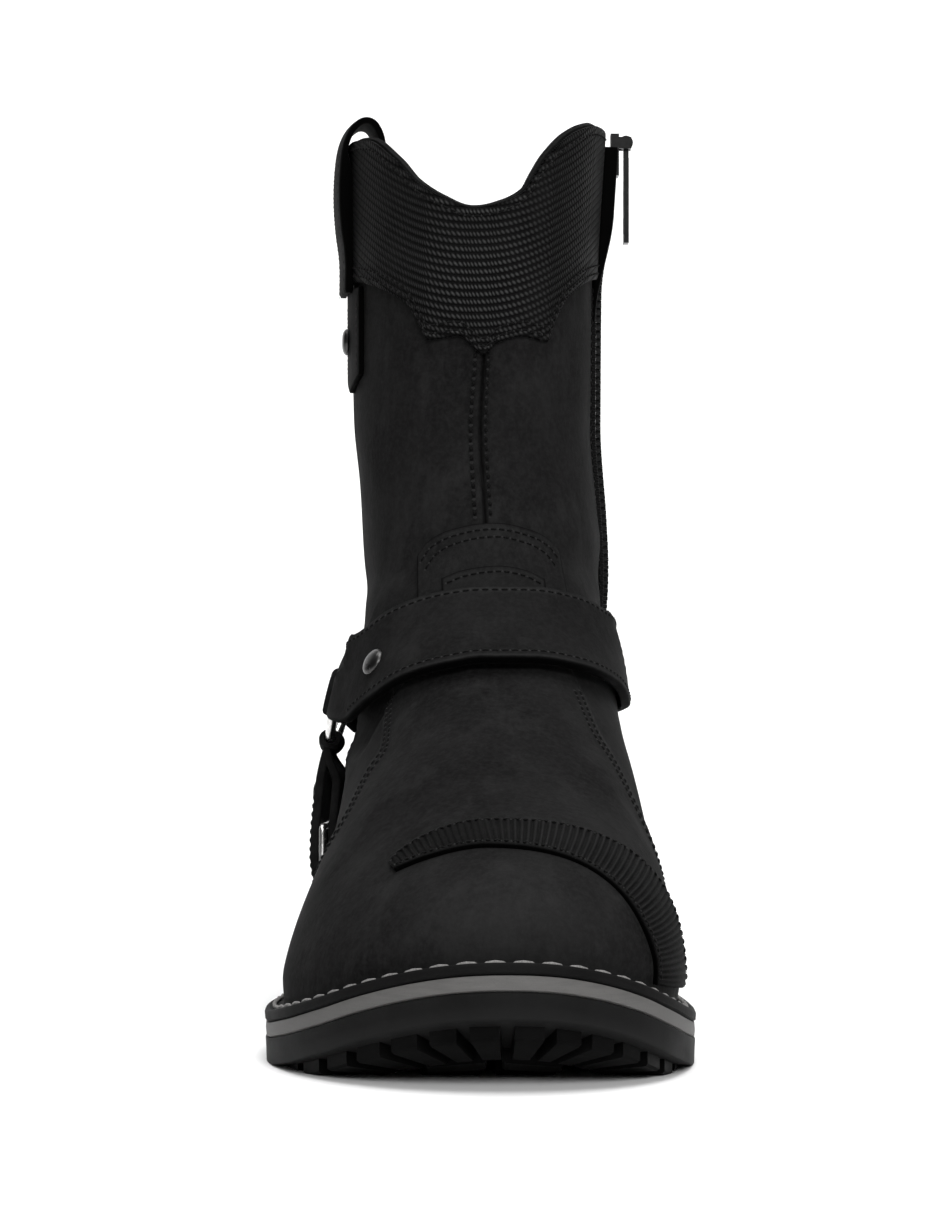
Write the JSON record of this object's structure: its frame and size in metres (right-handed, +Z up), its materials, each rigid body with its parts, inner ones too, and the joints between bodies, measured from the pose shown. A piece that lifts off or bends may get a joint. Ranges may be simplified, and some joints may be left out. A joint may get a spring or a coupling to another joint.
{
  "type": "boot",
  "caption": "Black leather pull-on harness boot for the right foot, with an inner zip, ring and straps, embossed collar, grey midsole and lugged rubber sole",
  "frame": {"origin": "middle of the boot's bounding box, on the floor under its sole", "axes": "+X to the inner side of the foot, -Y to the toe, +Z up"},
  "size_m": [0.1181, 0.3046, 0.2791],
  "materials": {
    "leather_black": "matte, finely napped",
    "leather_embossed": "embossed weave, low gloss",
    "rubber_black": "matte",
    "midsole_grey": "matte grey",
    "welt": "matte, stitched",
    "insole": "matte",
    "steel": "bright nickel",
    "zip_tape": "woven",
    "zip_metal": "black, satin"
  },
  "bodies": {
    "boot": {"collar_panel": "leather_embossed", "heel": "rubber_black", "heel_strap": "leather_black", "insole": "insole", "instep_patch": "leather_black", "instep_strap": "leather_black", "instep_tab": "leather_black", "midsole": "midsole_grey", "outsole": "rubber_black", "pull_strap": "leather_black", "pull_tab": "leather_black", "ring": "steel", "rivet_front": "steel", "rivet_pull": "steel", "rivet_side": "steel", "rivet_sole": "steel", "shift_pad": "leather_black", "sole_strap": "leather_black", "strap_keeper": "steel", "upper": "leather_black", "welt": "welt", "zip_slider": "zip_metal", "zip_tape": "zip_tape", "zip_teeth": "zip_metal"},
    "zip_pull": {"zip_pull": "zip_metal"}
  },
  "joints": [
    {"name": "zip_pull_hinge", "type": "hinge", "parent": "boot", "child": "zip_pull", "pos_m": [0.04618, 0.08901, 0.274], "axis": [0, -1, 0], "range_deg": [0, 150]}
  ]
}
